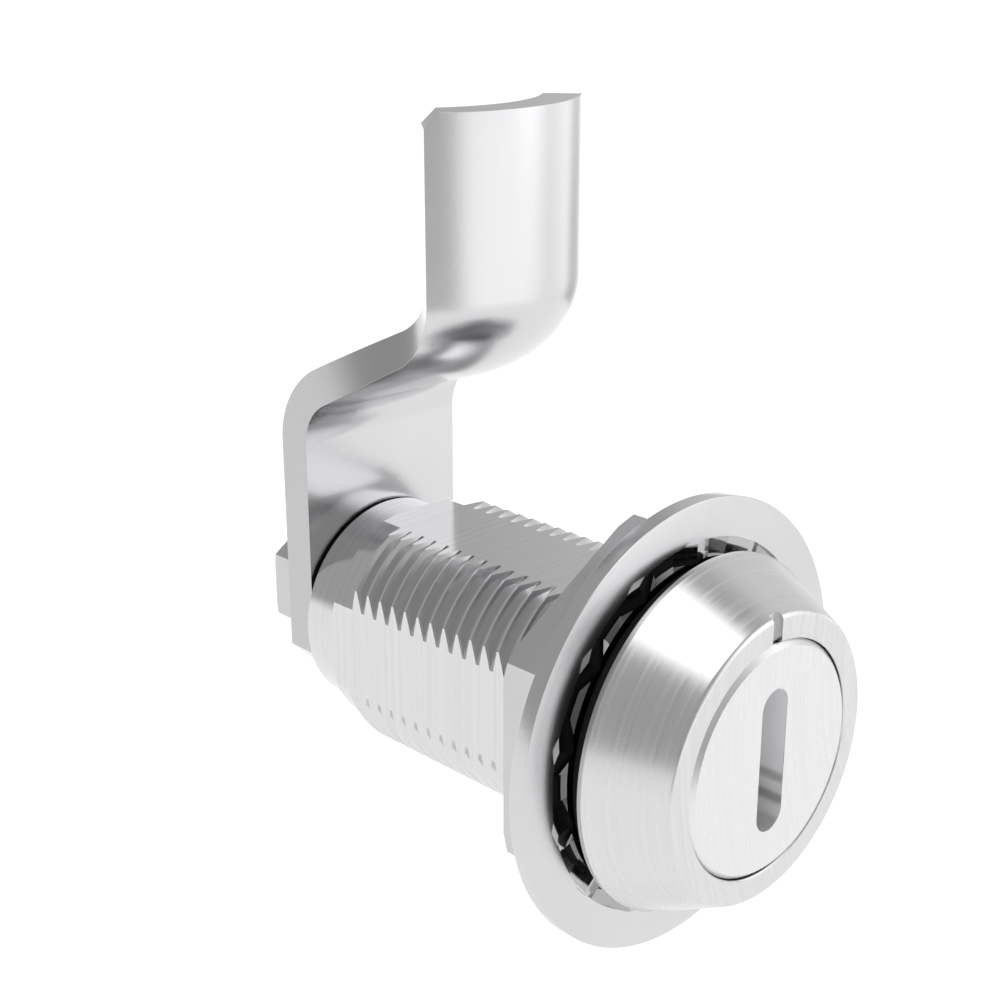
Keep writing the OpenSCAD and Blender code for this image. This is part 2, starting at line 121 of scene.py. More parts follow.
def noiseValue(tree, vector, scale, detail):
    node = addNode(tree, "ShaderNodeTexNoise")
    node.inputs["Detail"].default_value = detail
    fillInput(tree, node.inputs["Scale"], scale)
    connect(tree, vector, node.inputs["Vector"])
    return node.outputs["Fac"]


def blend(tree, mask, low, high):
    node = addNode(tree, "ShaderNodeMix", data_type="FLOAT")
    for place, value in ((0, mask), (2, low), (3, high)):
        fillInput(tree, node.inputs[place], value)
    return node.outputs[0]


def mapRange(tree, value, spread, result, **kind):
    node = addNode(tree, "ShaderNodeMapRange", **kind)
    labels = ("From Min", "From Max", "To Min", "To Max")
    for label, number in zip(labels, (*spread, *result)):
        node.inputs[label].default_value = number
    connect(tree, value, node.inputs["Value"])
    return node.outputs["Result"]


def smoothRange(tree, value, spread, result):
    return mapRange(tree, value, spread, result, interpolation_type="SMOOTHSTEP")


def mixColour(tree, mask, low, high):
    ramp = addNode(tree, "ShaderNodeValToRGB")
    ramp.color_ramp.elements[0].color = (*low, 1)
    ramp.color_ramp.elements[1].color = (*high, 1)
    connect(tree, mask, ramp.inputs[0])
    return ramp.outputs["Color"]


# multiplies a colour by share where the mask is 1
def shadeColour(tree, mask, colour, share):
    node = addNode(tree, "ShaderNodeMix", data_type="RGBA", blend_type="MULTIPLY")
    connect(tree, mask, node.inputs[0])
    connect(tree, colour, node.inputs[6])
    node.inputs[7].default_value = (share, share, share, 1)
    return node.outputs[2]


def addBump(tree, shader, height, depth):
    bump = addNode(tree, "ShaderNodeBump")
    bump.inputs["Distance"].default_value = depth
    bump.inputs["Strength"].default_value = 1.0
    connect(tree, height, bump.inputs["Height"])
    connect(tree, bump.outputs["Normal"], shader.inputs["Normal"])


# shader groups: brushing, arcs of the facing tool, satin grain

def openGroup(name, inputs, outputs):
    group = bpy.data.node_groups.new(name, "ShaderNodeTree")
    for label, value in inputs.items():
        socket = group.interface.new_socket(name=label, in_out="INPUT", socket_type="NodeSocketFloat")
        socket.default_value = value
    for label in outputs:
        group.interface.new_socket(name=label, in_out="OUTPUT", socket_type="NodeSocketFloat")
    return group, addNode(group, "NodeGroupInput"), addNode(group, "NodeGroupOutput")


# lines sets how close the brush lines are, per metre, and around how short they are
brushingSize = {
    "lines": 7000.0, "around": 4.0, "split": 1.0, "depthShare": 1.3, "broadShare": 0.16, "detail": 1.0,
    "least": 1e-9,
}


# brushing in rings round the latch axis; behind the depth Split they follow the depth alone
def makeTurnedBrushing(size):
    inputs = {"Lines": size["lines"], "Around": size["around"], "Split": size["split"]}
    group, entry, result = openGroup("turnedBrushing", inputs, ["Height", "Streaks"])
    x, y, z = splitAxes(group, surfacePlace(group, "Object"))
    radius = distance(group, x, z, size["least"])
    turned = isBelow(group, y, entry.outputs["Split"])
    across = plus(group, times(group, radius, turned), times(group, y, size["depthShare"]))
    for label, share in (("Height", 1.0), ("Streaks", size["broadShare"])):
        spot = [times(group, across, times(group, entry.outputs["Lines"], share))]
        for value in (x, z):
            turn = times(group, mathNode(group, "DIVIDE", value, radius), entry.outputs["Around"])
            spot.append(times(group, turn, share))
        noise = noiseValue(group, joinAxes(group, *spot), 1.0, size["detail"])
        connect(group, noise, result.inputs[label])
    return group


arcsSize = {"centreX": 0.035, "centreZ": 0.006, "lines": 2600.0, "around": 1.5, "detail": 1.5}


# faint wide arcs left by the facing tool, struck about a centre beside the axis
def makeFaceArcs(size):
    inputs = {"Centre X": size["centreX"], "Centre Z": size["centreZ"], "Lines": size["lines"]}
    group, entry, result = openGroup("faceArcs", inputs, ["Arcs"])
    place = splitAxes(group, surfacePlace(group, "Object"))
    left = minus(group, place["X"], entry.outputs["Centre X"])
    down = minus(group, place["Z"], entry.outputs["Centre Z"])
    reach = times(group, distance(group, left, down), entry.outputs["Lines"])
    turn = times(group, mathNode(group, "ARCTAN2", down, left), size["around"])
    noise = noiseValue(group, joinAxes(group, reach, turn, 0.0), 1.0, size["detail"])
    connect(group, noise, result.inputs["Arcs"])
    return group


satinSize = {"grain": 2600.0, "cloud": 120.0, "grainDetail": 2.0, "cloudDetail": 4.0}


# soft grain and faint cloudiness of a satin stainless surface
def makeSatinGrain(size):
    inputs = {"Grain": size["grain"], "Cloud": size["cloud"]}
    group, entry, result = openGroup("satinGrain", inputs, ["Height", "Clouds"])
    place = surfacePlace(group, "Object")
    grain = noiseValue(group, place, entry.outputs["Grain"], size["grainDetail"])
    cloud = noiseValue(group, place, entry.outputs["Cloud"], size["cloudDetail"])
    connect(group, grain, result.inputs["Height"])
    connect(group, cloud, result.inputs["Clouds"])
    return group


turnedBrushing = makeTurnedBrushing(brushingSize)
faceArcs = makeFaceArcs(arcsSize)
satinGrain = makeSatinGrain(satinSize)


# materials

def startMaterial(name):
    material = bpy.data.materials.new(name)
    material.use_nodes = True
    tree = material.node_tree
    return material, tree, tree.nodes["Principled BSDF"]


def placeGroup(tree, group, **values):
    node = addNode(tree, "ShaderNodeGroup", node_tree=group)
    for name, value in values.items():
        node.inputs[name].default_value = value
    return node


noiseSpread = (0.3, 0.7)  # most of what a noise gives lies between these
faceRelief = 0.08  # share of the bump on turned faces
bodyRelief = 0.25  # share of the bump on the body behind the head
slotLevel = 0.5  # even height inside the key slot


# inside of the key slot, its lower end, and the bands across that end, which are painted reflections
def slotMasks(tree, slot, faced, radius, height):
    inside = times(tree, isBelow(tree, radius, slot["radius"]), minus(tree, 1.0, faced))
    low = smoothRange(tree, height, slot["lowEnd"], (1.0, 0.0))
    turn = times(tree, plus(tree, height, slot["bandStart"]), 2 * math.pi / slot["bandPitch"])
    wave = smoothRange(tree, mathNode(tree, "COSINE", turn), slot["bandWave"], (1.0, 0.0))
    reflectionBands = times(tree, wave, smoothRange(tree, height, slot["bandReach"], (1.0, 0.0)))
    return inside, low, times(tree, inside, reflectionBands)


def makeTurnedSteel(name, settings):
    material, tree, shader = startMaterial(name)
    brushing = placeGroup(tree, turnedBrushing, Lines=settings["lines"], Around=settings["around"],
                          Split=settings["split"])
    arcs = placeGroup(tree, faceArcs).outputs["Arcs"]
    x, depth, height = splitAxes(tree, surfacePlace(tree, "Object"))
    faced = isBelow(tree, depth, settings["faceDepth"])
    body = isAbove(tree, depth, settings["split"])
    streaks = blend(tree, faced, brushing.outputs["Streaks"], arcs)
    relief = blend(tree, faced, brushing.outputs["Height"], times(tree, arcs, faceRelief))
    relief = blend(tree, body, relief, times(tree, brushing.outputs["Height"], bodyRelief))
    rough = mapRange(tree, streaks, noiseSpread, settings["roughness"])
    rough = blend(tree, body, rough, mapRange(tree, streaks, noiseSpread, settings["bodyRoughness"]))
    metal = 1.0
    slot = settings.get("slot")
    if slot:
        inside, low, reflectionBands = slotMasks(tree, slot, faced, distance(tree, x, height), height)
        metal = blend(tree, inside, metal, blend(tree, low, *slot["metal"]))
        rough = blend(tree, inside, rough, blend(tree, low, *slot["roughness"]))
        relief = blend(tree, inside, relief, slotLevel)
        # inside the slot the colour becomes the light one, painted light for the light that bounces into the
        # slot
        streaks = blend(tree, inside, streaks, 1.0)
    colour = mixColour(tree, streaks, settings["dark"], settings["light"])
    if slot:
        # the slot's shade lifts its colour again as painted light, and the bands darken it as painted
        # reflections
        colour = shadeColour(tree, inside, colour, slot["shade"])
        colour = shadeColour(tree, reflectionBands, colour, slot["bandShade"])
    fillInput(tree, shader.inputs["Metallic"], metal)
    connect(tree, colour, shader.inputs["Base Color"])
    connect(tree, rough, shader.inputs["Roughness"])
    addBump(tree, shader, relief, settings["bump"])
    return material


def makeSatinSteel(name, settings):
    material, tree, shader = startMaterial(name)
    grain = placeGroup(tree, satinGrain, Grain=settings["grain"], Cloud=settings["cloud"])
    colour = mixColour(tree, grain.outputs["Clouds"], settings["dark"], settings["light"])
    rough = mapRange(tree, grain.outputs["Clouds"], noiseSpread, settings["roughness"])
    teeth = settings.get("teeth")
    if teeth:
        # stamped teeth are smoother than the ring's face, and their colour is darkened as painted shade from
        # the head in front of them
        place = splitAxes(tree, surfacePlace(tree, "Object"))
        teethInShade = isBelow(tree, distance(tree, place["X"], place["Z"]), teeth["radius"])
        rough = blend(tree, teethInShade, rough, teeth["roughness"])
        colour = shadeColour(tree, teethInShade, colour, teeth["shade"])
    edges = settings.get("edges")
    if edges:
        # sheared edges of the plate face sideways and are darker than its faces
        sideways = mathNode(tree, "ABSOLUTE", splitAxes(tree, surfacePlace(tree, "Normal"))["X"])
        mask = smoothRange(tree, sideways, edges["turn"], (0.0, 1.0))
        colour = shadeColour(tree, mask, colour, edges["shade"])
    connect(tree, colour, shader.inputs["Base Color"])
    connect(tree, rough, shader.inputs["Roughness"])
    shader.inputs["Metallic"].default_value = 1.0
    addBump(tree, shader, grain.outputs["Height"], settings["bump"])
    return material


rubberGrain = {"grain": 4000.0, "cloud": 300.0, "darkShare": 0.8, "specular": 0.25, "bump": 0.00001}


def makeRubber(name, colour, roughness):
    material, tree, shader = startMaterial(name)
    grain = placeGroup(tree, satinGrain, Grain=rubberGrain["grain"], Cloud=rubberGrain["cloud"])
    dark = [c * rubberGrain["darkShare"] for c in colour]
    connect(tree, mixColour(tree, grain.outputs["Clouds"], dark, colour), shader.inputs["Base Color"])
    shader.inputs["Roughness"].default_value = roughness
    shader.inputs["Specular IOR Level"].default_value = rubberGrain["specular"]
    addBump(tree, shader, grain.outputs["Height"], rubberGrain["bump"])
    return material


# places and bumps of the finishes are in metres
headFinish = {
    "lines": 11000.0, "around": 0.5, "split": 0.0001, "faceDepth": -0.0061,
    "dark": (0.58, 0.58, 0.585), "light": (0.7, 0.7, 0.71),
    "roughness": (0.2, 0.3), "bodyRoughness": (0.1, 0.16), "bump": 0.0000015,
}
# in slot, metal and roughness go from the long walls to the lower end; lowEnd and bandReach are
# heights, and bandWave is a range of the cosine that makes the bands; shade lifts the slot's colour
# as painted light, and the bands, darkened by bandShade, are painted reflections
plugFinish = {
    "lines": 9000.0, "around": 1.0, "split": 0.001, "faceDepth": -0.0063,
    "dark": (0.68, 0.68, 0.685), "light": (0.76, 0.76, 0.77),
    "roughness": (0.24, 0.32), "bodyRoughness": (0.24, 0.32), "bump": 0.000003,
    "slot": {
        "radius": 0.0064, "lowEnd": (-0.0036, -0.0016), "metal": (0.1, 0.3), "roughness": (0.35, 0.12),
        "shade": 1.1, "bandStart": 0.00115, "bandPitch": 0.0018, "bandWave": (-1.0, 0.7),
        "bandReach": (-0.0022, -0.0008), "bandShade": 0.55,
    },
}
innerFinish = {
    "lines": 6000.0, "around": 1.5, "split": 1.0, "faceDepth": -1.0,
    "dark": (0.55, 0.55, 0.56), "light": (0.68, 0.68, 0.69),
    "roughness": (0.28, 0.38), "bodyRoughness": (0.28, 0.38), "bump": 0.000004,
}
ringFinish = {
    "grain": 2600.0, "cloud": 90.0, "dark": (0.57, 0.57, 0.58), "light": (0.64, 0.64, 0.65),
    "roughness": (0.2, 0.26), "bump": 0.000004,
    # the teeth's shade darkens their colour as painted shade from the head in front of them
    "teeth": {"radius": 0.01492, "roughness": 0.06, "shade": 0.62},
}
pawlFinish = {
    "grain": 2600.0, "cloud": 70.0, "dark": (0.6, 0.6, 0.61), "light": (0.66, 0.66, 0.67),
    "roughness": (0.18, 0.24), "bump": 0.000004,
    "edges": {"turn": (0.72, 0.95), "shade": 0.78},
}
boltFinish = {
    "grain": 2200.0, "cloud": 150.0, "dark": (0.51, 0.51, 0.52), "light": (0.59, 0.59, 0.6),
    "roughness": (0.26, 0.34), "bump": 0.000006,
}
rubberFinish = {"colour": (0.008, 0.008, 0.009), "roughness": 0.7}
plasticFinish = {"colour": (0.03, 0.03, 0.035), "roughness": 0.4}

headSteel = makeTurnedSteel("headSteel", headFinish)
plugSteel = makeTurnedSteel("plugSteel", plugFinish)
innerSteel = makeTurnedSteel("innerSteel", innerFinish)
ringSteel = makeSatinSteel("ringSteel", ringFinish)
pawlSteel = makeSatinSteel("pawlSteel", pawlFinish)
nutSteel = makeSatinSteel("nutSteel", boltFinish)
boltSteel = makeSatinSteel("boltSteel", boltFinish)
sealRubber = makeRubber("sealRubber", **rubberFinish)
washerPlastic = makeRubber("washerPlastic", **plasticFinish)

nodeFinish = {
    "housing": headSteel, "toothed_ring": ringSteel, "mounting_nut": nutSteel, "drive_plug": plugSteel,
    "pawl": pawlSteel, "pawl_bolt": boltSteel, "plain_washer": boltSteel, "lock_washer": boltSteel,
    "head_seal": sealRubber, "plug_seal": sealRubber, "shaft_seal": sealRubber,
    "thrust_washer": washerPlastic,
}
# edges sharper than this many degrees stay crisp
usualSharp = 32
sharpAngle = {"mounting_nut": 18, "plain_washer": 18, "lock_washer": 18}
for name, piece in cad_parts.items():
    piece.data.materials.clear()
    piece.data.materials.append(nodeFinish.get(name, innerSteel))
    piece.data.shade_smooth()
    piece.data.set_sharp_from_angle(angle=math.radians(sharpAngle.get(name, usualSharp)))
print("materials done")


# helpers for making pieces; sizes are in millimetres, the meshes in metres

# distances in metres under which points of a mesh are joined
welds = {"twins": 1e-7, "slivers": 2e-6, "collapsed": 1e-6}
past = 1.0  # how far a cutter goes beyond the solid


def settleMesh(piece):
    bpy.context.view_layer.update()
    shown = piece.evaluated_get(bpy.context.evaluated_depsgraph_get())
    mesh = bpy.data.meshes.new_from_object(shown)
    piece.modifiers.clear()
    piece.data = mesh
    return piece


def newPiece(name, vertices, faces):
    mesh = bpy.data.meshes.new(name)
    mesh.from_pydata([[c * mm for c in v] for v in vertices], [], faces)
    piece = bpy.data.objects.new(name, mesh)
    bpy.context.scene.collection.objects.link(piece)
    return piece


def faceOutwards(piece):
    mesh = bmesh.new()
    mesh.from_mesh(piece.data)
    bmesh.ops.remove_doubles(mesh, verts=mesh.verts, dist=welds["twins"])
    bmesh.ops.recalc_face_normals(mesh, faces=mesh.faces)
    mesh.to_mesh(piece.data)
    mesh.free()
    return piece


def cleanMesh(piece):
    mesh = bmesh.new()
    mesh.from_mesh(piece.data)
    bmesh.ops.remove_doubles(mesh, verts=mesh.verts, dist=welds["slivers"])
    bmesh.ops.dissolve_degenerate(mesh, edges=mesh.edges, dist=welds["collapsed"])
    mesh.to_mesh(piece.data)
    mesh.free()
    return piece


# turns a closed outline of [radius, depth] about the latch axis
def turnedPiece(name, outline, steps):
    vertices, faces, rings = [], [], []
    for radius, depth in outline:
        count = 1 if radius == 0 else steps
        rings.append((len(vertices), count))
        for i in range(count):
            angle = 2 * math.pi * i / steps
            vertices.append((radius * math.sin(angle), depth, radius * math.cos(angle)))
    for (first, firstCount), (second, secondCount) in zip(rings, rings[1:] + rings[:1]):
        if firstCount == 1 and secondCount == 1:
            continue
        for i in range(steps):
            k = (i + 1) % steps
            corners = [first + i % firstCount, first + k % firstCount,
                       second + k % secondCount, second + i % secondCount]
            faces.append([c for n, c in enumerate(corners) if c not in corners[:n]])
    return faceOutwards(newPiece(name, vertices, faces))


def boxPiece(name, low, high):
    vertices = [(x, y, z) for x in (low[0], high[0]) for y in (low[1], high[1]) for z in (low[2], high[2])]
    faces = [(0, 1, 3, 2), (4, 6, 7, 5), (0, 4, 5, 1), (2, 3, 7, 6), (0, 2, 6, 4), (1, 5, 7, 3)]
    return faceOutwards(newPiece(name, vertices, faces))


# a full cylinder round the latch axis
def barPiece(name, radius, front, rear, steps):
    return turnedPiece(name, [(0, front), (radius, front), (radius, rear), (0, rear)], steps)


# round stretch of an outline; 0 degrees points to the front, 90 degrees outwards
def arcPoints(centre, radius, start, stop, steps):
    angles = [math.radians(start + (stop - start) * k / steps) for k in range(steps + 1)]
    return [(centre[0] + radius * math.sin(a), centre[1] - radius * math.cos(a)) for a in angles]


def combine(piece, operation, *others):
    for other in others:
        step = piece.modifiers.new("combine", "BOOLEAN")
        step.operation = operation
        step.solver = "EXACT"
        step.object = other
    settleMesh(piece)
    for other in others:
        bpy.data.objects.remove(other)
    return cleanMesh(piece)


def roundEdges(piece, width, segments, angle):
    step = piece.modifiers.new("roundEdges", "BEVEL")
    step.width = width * mm
    step.segments = segments
    step.limit_method = "ANGLE"
    step.angle_limit = math.radians(angle)
    step.use_clamp_overlap = True
    return settleMesh(piece)


def finishPiece(piece, material, body, replaced, sharp):
    piece.data.materials.clear()
    piece.data.materials.append(material)
    piece.data.shade_smooth()
    piece.data.set_sharp_from_angle(angle=math.radians(sharp))
    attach(piece, body)
    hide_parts(replaced)
    print(piece.name, len(piece.data.polygons), "faces")


# helpers for geometry node trees

def openTree(name, labels):
    tree = bpy.data.node_groups.new(name, "GeometryNodeTree")
    tree.interface.new_socket(name="Geometry", in_out="INPUT", socket_type="NodeSocketGeometry")
    for label in labels:
        tree.interface.new_socket(name=label, in_out="INPUT", socket_type="NodeSocketFloat")
    tree.interface.new_socket(name="Material", in_out="INPUT", socket_type="NodeSocketMaterial")
    tree.interface.new_socket(name="Geometry", in_out="OUTPUT", socket_type="NodeSocketGeometry")
    return tree, addNode(tree, "NodeGroupInput"), addNode(tree, "NodeGroupOutput")


def closeTree(tree, entry, result, geometry):
    realize = addNode(tree, "GeometryNodeRealizeInstances")
    paint = addNode(tree, "GeometryNodeSetMaterial")
    connect(tree, geometry, realize.inputs[0])
    connect(tree, realize.outputs[0], paint.inputs["Geometry"])
    connect(tree, entry.outputs["Material"], paint.inputs["Material"])
    connect(tree, paint.outputs[0], result.inputs[0])
    return tree


def movePoints(tree, geometry, x, y, z):
    move = addNode(tree, "GeometryNodeSetPosition")
    connect(tree, geometry, move.inputs["Geometry"])
    connect(tree, joinAxes(tree, x, y, z), move.inputs["Position"])
    return move.outputs[0]


def growPiece(name, tree, sizes, material):
    piece = newPiece(name, [], [])
    step = piece.modifiers.new(name, "NODES")
    step.node_group = tree
    for item in tree.interface.items_tree:
        if item.in_out == "INPUT" and item.name in sizes:
            step[item.identifier] = float(sizes[item.name])
        if item.in_out == "INPUT" and item.name == "Material":
            step[item.identifier] = material
    return faceOutwards(settleMesh(piece))


# pawl: one rolled plate, flat at the shaft and rounded at the tongue

pawlSize = {
    "front": 36.2, "thickness": 3.1, "halfWidth": 8.4, "reach": 44.8, "offset": 15.1,
    "foot": 8.4, "footCorner": 5.6, "bendStart": 16.2, "bendAngle": 62.0, "bendInner": 4.5,
    "bendOuter": 6.2, "tongueRadius": 13.46, "tongueCorner": 1.1, "cornerReach": 6.0,
    "square": 8.1, "hole": 5.05, "holeFront": 30, "holeRear": 45, "holeSteps": 64,
    "edge": 0.14, "edgeSteps": 3, "edgeAngle": 38, "sharp": 12, "leastSag": 0.01,
    "acrossSteps": 44, "footSteps": 5, "baseSteps": 9, "bendSteps": 18, "slantSteps": 20, "tongueSteps": 12,
}


# front side of the plate as [depth, height, tilt], from the foot to the top of the tongue
def pawlPath(size):
    angle = math.radians(size["bendAngle"])
    turn, rise = math.cos(angle), math.sin(angle)
    front, inner, outer = size["front"], size["bendInner"], size["bendOuter"]
    edge = front - size["offset"]
    lower = (front - inner * (1 - turn), size["bendStart"] + inner * rise)
    slant = (lower[0] - edge - outer * (1 - turn)) / rise
    tongueStart = lower[1] + slant * turn + outer * rise
    corner = size["footCorner"] - size["foot"]
    footSteps, baseSteps = size["footSteps"], size["baseSteps"]
    heights = [-size["foot"] + size["footCorner"] * k / footSteps for k in range(footSteps)]
    heights += [corner + (size["bendStart"] - corner) * k / baseSteps for k in range(baseSteps)]
    path = [(front, z, 0.0) for z in heights]
    for k in range(size["bendSteps"] + 1):
        a = angle * k / size["bendSteps"]
        path.append((front - inner * (1 - math.cos(a)), size["bendStart"] + inner * math.sin(a), a))
    for k in range(1, size["slantSteps"]):
        t = slant * k / size["slantSteps"]
        path.append((lower[0] - t * rise, lower[1] + t * turn, angle))
    for k in range(size["bendSteps"] + 1):
        a = angle * (1 - k / size["bendSteps"])
        path.append((edge + outer * (1 - math.cos(a)), tongueStart - outer * math.sin(a), a))
    for k in range(1, size["tongueSteps"] + 1):
        path.append((edge, tongueStart + (size["reach"] - tongueStart) * k / size["tongueSteps"], 0.0))
    return path, tongueStart


# ring of points round the plate at one place of the path; sag is how far its middle stands out
def pawlSection(size, depth, height, tilt, sag):
    half = size["halfWidth"]
    corner = size["footCorner"] - size["foot"]
    if height < corner:
        half -= corner - height
    ring = []
    steps = size["acrossSteps"]
    for inward, direction in ((0.0, 1), (size["thickness"], -1)):
        for k in range(steps + 1):
            place = direction * (2 * k / steps - 1)
            if sag < size["leastSag"]:
                x, over = half * place, -inward
            else:
                radius = (half * half + sag * sag) / (2 * sag)
                angle = math.asin(half / radius) * place
                x = (radius - inward) * math.sin(angle)
                over = (radius - inward) * math.cos(angle) - (radius - sag)
            ring.append((x, depth - over * math.cos(tilt), height - over * math.sin(tilt)))
    return ring


def pawlBlank(size, path, tongueStart, fullSag):
    vertices, faces = [], []
    for depth, height, tilt in path:
        share = (height - size["bendStart"]) / (tongueStart - size["bendStart"])
        t = min(1.0, max(0.0, share))
        vertices += pawlSection(size, depth, height, tilt, fullSag * t * t * (3 - 2 * t))
    loop = 2 * (size["acrossSteps"] + 1)
    for i in range(len(path) - 1):
        for k in range(loop):
            n = (k + 1) % loop
            faces.append((i * loop + k, i * loop + n, (i + 1) * loop + n, (i + 1) * loop + k))
    for base in (0, (len(path) - 1) * loop):
        for k in range(size["acrossSteps"]):
            faces.append((base + k, base + k + 1, base + loop - 2 - k, base + loop - 1 - k))
    return faceOutwards(newPiece("pawlPlate", vertices, faces))


# cutter for the corner of the tongue, square to the rounded plate
def pawlCorner(size, depth, span):
    cut = size["tongueCorner"] * math.sqrt(0.5)
    corner = boxPiece("cornerCutter", (-cut, -size["cornerReach"], -cut), (cut, size["cornerReach"], cut))
    place = Matrix.Translation(Vector((-size["halfWidth"], depth, size["reach"])) * mm)
    across = Matrix.Rotation(-span, 4, "Z")
    corner.data.transform(place @ across @ Matrix.Rotation(math.radians(45), 4, "Y"))
    return corner


# square hole with its corners rounded off
def pawlHole(size):
    half = size["square"] / 2
    front, rear = size["holeFront"], size["holeRear"]
    square = boxPiece("squareHole", (-half, front, -half), (half, rear, half))
    return combine(square, "INTERSECT", barPiece("roundHole", size["hole"], front, rear, size["holeSteps"]))


def makePawl(size):
    path, tongueStart = pawlPath(size)
    span = math.asin(size["halfWidth"] / size["tongueRadius"])
    fullSag = size["tongueRadius"] * (1 - math.cos(span))
    pawl = pawlBlank(size, path, tongueStart, fullSag)
    combine(pawl, "DIFFERENCE", pawlCorner(size, path[-1][0], span), pawlHole(size))
    roundEdges(pawl, size["edge"], size["edgeSteps"], size["edgeAngle"])
    finishPiece(pawl, pawlSteel, "shaft", "pawl", size["sharp"])


makePawl(pawlSize)


# housing: turned head and nose with a true screw thread between

housingSize = {
    "headRadius": 14.2, "faceRadius": 11.35, "headHeight": 6.2, "rim": 0.4, "faceEdge": 0.5,
    "faceEdgeSteps": 6, "seatEdge": 0.05, "recess": 9.35, "recessDepth": 2.6, "recessLip": 0.08,
    "sealRadius": 13.3, "sealBore": 11.25, "sealDepth": 0.4, "pitch": 1.5, "crest": 11.0, "depth": 0.82,
    "threadFront": -1.0, "threadEnd": 30.3, "phase": 0.04, "turns": 24, "around": 96,
    "flats": 9.45, "flatsFront": -0.7, "relief": 1.6, "cone": 0.7, "nose": 9.3, "noseEdge": 0.12,
    "noseOverlap": 0.5, "noseInset": 0.01, "length": 35.9, "bore": 7.5, "lip": 6.38,
    "lipFront": 31.4, "lipRear": 33.4, "pocket": 7.9, "markWidth": 1.1, "markDepth": 0.5,
    "headSteps": 192, "steps": 128, "sharp": 18,
}
# soft corner of the rim as [outwards, along] from the head's largest circle
rimPoints = [(-0.08, -0.17), (-0.01, -0.02), (0.0, 0.1)]
# the thread's flank angle, width of its crest per pitch, and the metres over which it fades out
threadForm = {"flank": 30, "land": 0.125, "fade": 0.0003}


# a grid of profile points wound round the axis; each turn of the screw has four rows
def screwTree(around, turns):
    labels = ["Pitch", "Crest", "Depth", "Front", "End", "Phase"]
    tree, entry, result = openTree("screwThread", labels)
    pitch, crest, depth, front, end, phase = [entry.outputs[label] for label in labels]
    rows = 4 * turns + 2
    grid = addNode(tree, "GeometryNodeMeshGrid")
    for label, value in (("Size X", 1.0), ("Size Y", 1.0), ("Vertices X", around + 1), ("Vertices Y", rows)):
        grid.inputs[label].default_value = value
    # the grid is 1 wide and 1 high about its centre: across it goes round, up it goes from row to row
    place = splitAxes(tree, addNode(tree, "GeometryNodeInputPosition").outputs[0])
    lap = plus(tree, place["X"], 0.5)
    row = mathNode(tree, "ROUND", times(tree, plus(tree, place["Y"], 0.5), rows - 1))

    # which turn of the screw a row belongs to, and which of its four rows it is
    step = minus(tree, row, 1)
    turn = mathNode(tree, "FLOOR", mathNode(tree, "DIVIDE", step, 4))
    part = minus(tree, step, times(tree, turn, 4))
    onCrest = isAbove(tree, part, 0.5)
    pastCrest = isAbove(tree, part, 1.5)
    onRoot = isAbove(tree, part, 2.5)

    # widths of the profile along the axis
    flank = times(tree, depth, math.tan(math.radians(threadForm["flank"])))
    land = times(tree, pitch, threadForm["land"])
    valley = minus(tree, minus(tree, pitch, land), times(tree, flank, 2))
    shift = plus(tree, times(tree, onCrest, flank), times(tree, pastCrest, land), times(tree, onRoot, flank))
    start = plus(tree, phase, times(tree, valley, 0.5))
    along = plus(tree, times(tree, plus(tree, turn, lap), pitch), shift, start)

    # the thread sinks to its root at both ends
    fades = [mathNode(tree, "DIVIDE", minus(tree, high, low), threadForm["fade"], clamp=True)
             for high, low in ((end, along), (along, front))]
    raised = times(tree, minus(tree, onCrest, onRoot), times(tree, *fades))
    radius = plus(tree, minus(tree, crest, depth), times(tree, raised, depth))
    along = mathNode(tree, "MINIMUM", mathNode(tree, "MAXIMUM", along, front), end)

    # the first and last rows close the ends on the axis
    isFirst = isBelow(tree, row, 0.5)
    isLast = isAbove(tree, row, rows - 1.5)
    between = minus(tree, minus(tree, 1, isFirst), isLast)
    radius = times(tree, radius, between)
    ends = plus(tree, times(tree, isFirst, front), times(tree, isLast, end))
    along = plus(tree, times(tree, along, between), ends)
    angle = times(tree, lap, 2 * math.pi)
    moved = movePoints(tree, grid.outputs["Mesh"], times(tree, radius, mathNode(tree, "SINE", angle)), along,
                       times(tree, radius, mathNode(tree, "COSINE", angle)))
    weld = addNode(tree, "GeometryNodeMergeByDistance")
    weld.inputs["Distance"].default_value = welds["slivers"]
    connect(tree, moved, weld.inputs["Geometry"])
    return closeTree(tree, entry, result, weld.outputs[0])


# thread and nose, cut by the four flats
def threadedBody(size):
    sizes = {
        "Pitch": size["pitch"] * mm, "Crest": size["crest"] * mm, "Depth": size["depth"] * mm,
        "Front": size["threadFront"] * mm, "End": size["threadEnd"] * mm,
        "Phase": (size["phase"] - 2 * size["pitch"]) * mm,
    }
    body = growPiece("housingBody", screwTree(size["around"], size["turns"]), sizes, headSteel)
    neck = size["crest"] - size["depth"] - size["noseInset"]
    front = size["threadEnd"] - size["noseOverlap"]
    reliefEnd = size["threadEnd"] + size["relief"]
    nose = turnedPiece("nose", [
        (0, front), (neck, front), (neck, reliefEnd), (size["nose"], reliefEnd + size["cone"]),
        (size["nose"], size["length"] - size["noseEdge"]), (size["nose"] - size["noseEdge"], size["length"]),
        (0, size["length"])], size["steps"])
    flat = size["flats"]
    prism = boxPiece("flats", (-flat, size["flatsFront"], -flat), (flat, size["length"] + past, flat))
    combine(body, "UNION", nose)
    return combine(body, "INTERSECT", prism)


